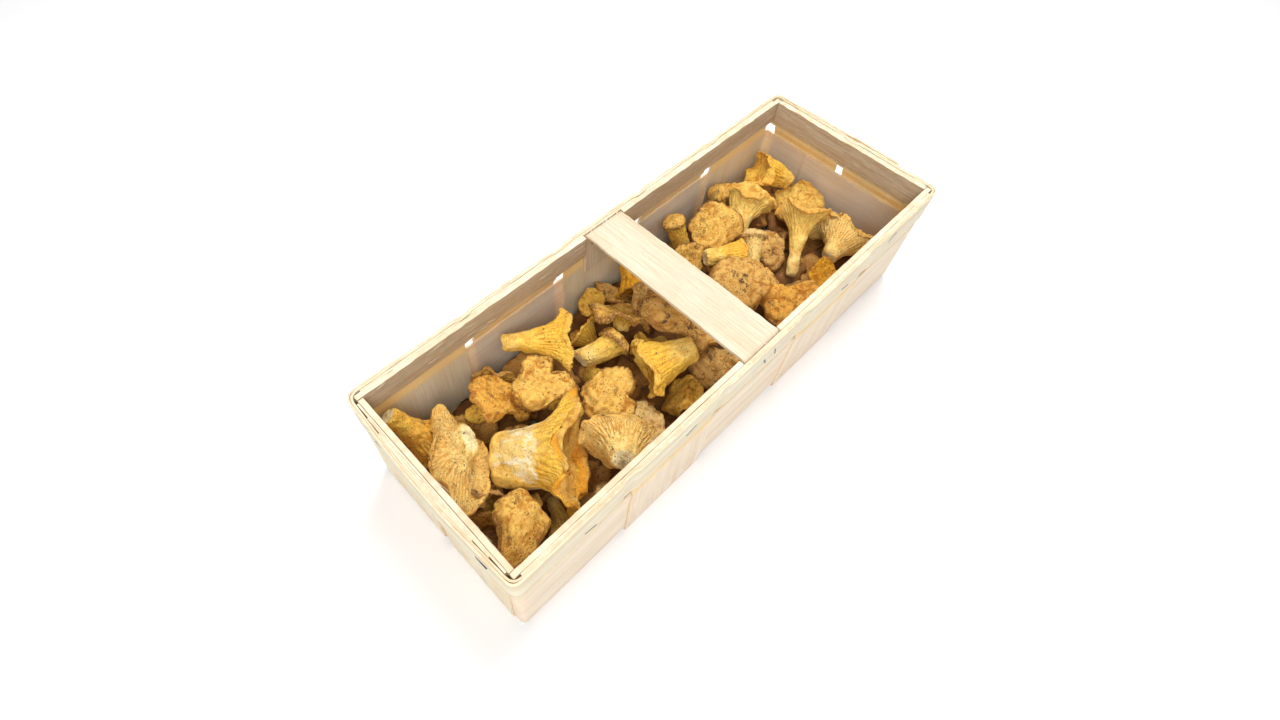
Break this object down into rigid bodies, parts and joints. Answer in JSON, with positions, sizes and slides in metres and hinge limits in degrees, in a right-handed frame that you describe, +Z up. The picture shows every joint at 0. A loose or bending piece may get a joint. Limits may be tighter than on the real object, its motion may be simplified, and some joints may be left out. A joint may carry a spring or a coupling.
{
  "type": "chip basket of chanterelle mushrooms",
  "caption": "Long low box basket of woven wood veneer with a flat strap handle across the middle, filled with fresh chanterelle mushrooms.",
  "frame": {"origin": "middle of the basket's footprint, on the surface that it stands on", "axes": "+Z up, +X along the basket's length towards the wall where the rim band's end has sprung away, +Y across it"},
  "size_m": [0.402, 0.1446, 0.0964],
  "materials": {
    "woven_veneer": "peeled poplar veneer, matt, straight fine grain",
    "rim_veneer": "thin peeled veneer, matt, with frayed edges",
    "sawn_lath": "sawn softwood lath, matt and slightly furry",
    "handle_wood": "flat sawn strap, matt, pale",
    "mushroom_flesh": "dull egg-yellow to orange-tan skin, slightly moist, with specks of earth",
    "staple_wire": "flattened galvanised wire"
  },
  "bodies": {
    "root": {"cross_strip_1": "woven_veneer", "cross_strip_2": "woven_veneer", "cross_strip_3": "woven_veneer", "cross_strip_4": "woven_veneer", "cross_strip_5": "woven_veneer", "long_strip_1": "woven_veneer", "long_strip_2": "woven_veneer", "belt": "woven_veneer", "rim_band": "rim_veneer", "side_lath_left_near": "sawn_lath", "side_lath_left_far": "sawn_lath", "side_lath_right_near": "sawn_lath", "side_lath_right_far": "sawn_lath", "end_lath_near": "sawn_lath", "end_lath_far": "sawn_lath", "handle": "handle_wood", "bottom_chanterelles_1": "mushroom_flesh", "bottom_chanterelles_2": "mushroom_flesh", "bottom_chanterelles_3": "mushroom_flesh", "chanterelle_01": "mushroom_flesh", "chanterelle_02": "mushroom_flesh", "chanterelle_03": "mushroom_flesh", "chanterelle_04": "mushroom_flesh", "chanterelle_05": "mushroom_flesh", "chanterelle_06": "mushroom_flesh", "chanterelle_07": "mushroom_flesh", "chanterelle_08": "mushroom_flesh", "chanterelle_09": "mushroom_flesh", "chanterelle_10": "mushroom_flesh", "chanterelle_11": "mushroom_flesh", "chanterelle_12": "mushroom_flesh", "chanterelle_13": "mushroom_flesh", "chanterelle_14": "mushroom_flesh", "chanterelle_15": "mushroom_flesh", "chanterelle_16": "mushroom_flesh", "chanterelle_17": "mushroom_flesh", "chanterelle_18": "mushroom_flesh", "chanterelle_19": "mushroom_flesh", "chanterelle_20": "mushroom_flesh", "chanterelle_21": "mushroom_flesh", "chanterelle_22": "mushroom_flesh", "chanterelle_23": "mushroom_flesh", "chanterelle_24": "mushroom_flesh", "chanterelle_25": "mushroom_flesh", "chanterelle_26": "mushroom_flesh", "chanterelle_27": "mushroom_flesh", "chanterelle_28": "mushroom_flesh", "chanterelle_29": "mushroom_flesh", "chanterelle_30": "mushroom_flesh", "chanterelle_31": "mushroom_flesh", "chanterelle_32": "mushroom_flesh", "chanterelle_33": "mushroom_flesh", "chanterelle_34": "mushroom_flesh", "chanterelle_35": "mushroom_flesh", "chanterelle_36": "mushroom_flesh", "chanterelle_37": "mushroom_flesh", "chanterelle_38": "mushroom_flesh", "chanterelle_39": "mushroom_flesh", "chanterelle_40": "mushroom_flesh", "chanterelle_41": "mushroom_flesh"}
  },
  "joints": []
}
